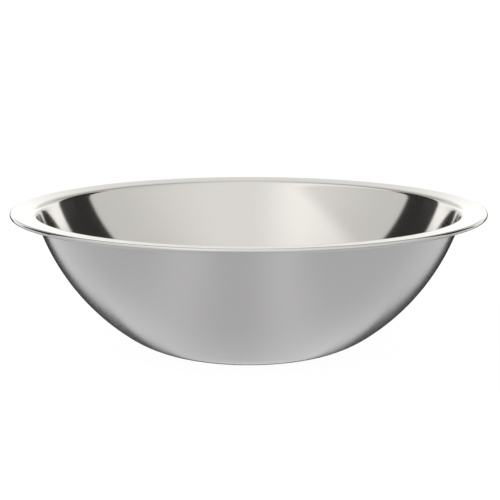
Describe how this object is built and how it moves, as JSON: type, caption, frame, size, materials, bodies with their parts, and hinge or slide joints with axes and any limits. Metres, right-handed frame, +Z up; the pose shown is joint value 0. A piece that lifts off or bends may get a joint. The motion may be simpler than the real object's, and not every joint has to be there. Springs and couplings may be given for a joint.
{
  "type": "mixing bowl",
  "caption": "Wide round stainless steel mixing bowl with a small flat base, a rounded wall, a gently sloped flange and a rolled bead at its rim.",
  "frame": {"origin": "centre of the base at table level", "axes": "+Z up along the bowl's axis, towards its mouth; X and Y are level and interchangeable"},
  "size_m": [0.45, 0.4498, 0.1365],
  "materials": {
    "stainless_steel": "bright polished inside and on the flange, satin outside with fine lines round the bowl"
  },
  "bodies": {
    "root": {"bowl": "stainless_steel"}
  },
  "joints": []
}
